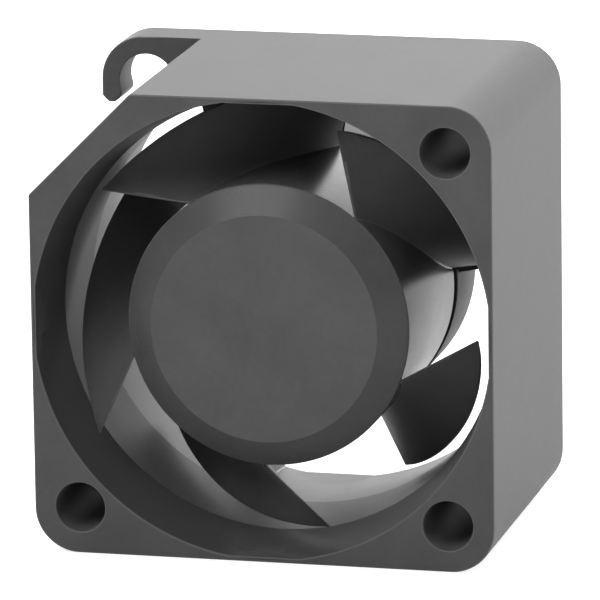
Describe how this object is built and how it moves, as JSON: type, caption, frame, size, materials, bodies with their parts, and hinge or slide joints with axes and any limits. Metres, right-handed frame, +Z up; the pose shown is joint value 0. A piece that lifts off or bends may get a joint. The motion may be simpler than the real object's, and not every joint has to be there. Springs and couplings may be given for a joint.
{
  "type": "axial cooling fan",
  "caption": "Square axial cooling fan with closed side walls, swept impeller blades, an enclosed brushless motor and a cut corner with a hook for its leads.",
  "frame": {"origin": "middle of the casing, on the rotor's axis", "axes": "+Y with the air from the inlet to the outlet, +X to the right and +Z up as the inlet is looked at"},
  "size_m": [0.04, 0.028, 0.04],
  "materials": {
    "housing_plastic": "fine matt moulded",
    "impeller_plastic": "fine matt moulded",
    "yoke_steel": "zinc plated",
    "magnet": "matt bonded magnet",
    "brass": "turned",
    "shaft_steel": "ground",
    "spring_steel": "drawn wire",
    "bearing_steel": "ground",
    "shield_steel": "pressed sheet",
    "core_steel": "stamped and coated",
    "insulator_plastic": "moulded",
    "winding_copper": "enamelled copper wire",
    "pin_metal": "tinned",
    "board": "solder-masked glass laminate",
    "chip_plastic": "moulded",
    "ceramic": "fired ceramic"
  },
  "bodies": {
    "casing": {"casing": "housing_plastic", "bearing_tube": "brass", "stator_laminations": "core_steel", "front_insulator": "insulator_plastic", "rear_insulator": "insulator_plastic", "coil_top": "winding_copper", "coil_right": "winding_copper", "coil_bottom": "winding_copper", "coil_left": "winding_copper", "winding_pins": "pin_metal", "circuit_board": "board", "hall_sensor": "chip_plastic", "driver_chip": "chip_plastic", "chip_capacitors": "ceramic", "chip_resistors": "chip_plastic", "reverse_diode": "chip_plastic", "front_bearing_outer_ring": "bearing_steel", "front_bearing_shields": "shield_steel", "rear_bearing_outer_ring": "bearing_steel", "rear_bearing_shields": "shield_steel"},
    "rotor": {"impeller": "impeller_plastic", "rotor_yoke": "yoke_steel", "ring_magnet": "magnet", "shaft_boss": "brass", "shaft": "shaft_steel", "retaining_clip": "spring_steel", "preload_spring": "spring_steel", "front_bearing_inner_ring": "bearing_steel", "rear_bearing_inner_ring": "bearing_steel"},
    "front_ball_set": {"front_bearing_balls": "bearing_steel", "front_bearing_cage": "shield_steel"},
    "rear_ball_set": {"rear_bearing_balls": "bearing_steel", "rear_bearing_cage": "shield_steel"}
  },
  "joints": [
    {"name": "rotor_spin", "type": "hinge", "parent": "casing", "child": "rotor", "pos_m": [0, 0, 0], "axis": [0, -1, 0], "continuous": true},
    {"name": "front_ball_spin", "type": "hinge", "parent": "casing", "child": "front_ball_set", "pos_m": [0, 0, 0], "axis": [0, -1, 0], "continuous": true},
    {"name": "rear_ball_spin", "type": "hinge", "parent": "casing", "child": "rear_ball_set", "pos_m": [0, 0, 0], "axis": [0, -1, 0], "continuous": true}
  ],
  "couplings": [
    {"joint": "front_ball_spin", "follows": "rotor_spin", "ratio": 0.39},
    {"joint": "rear_ball_spin", "follows": "rotor_spin", "ratio": 0.39}
  ]
}
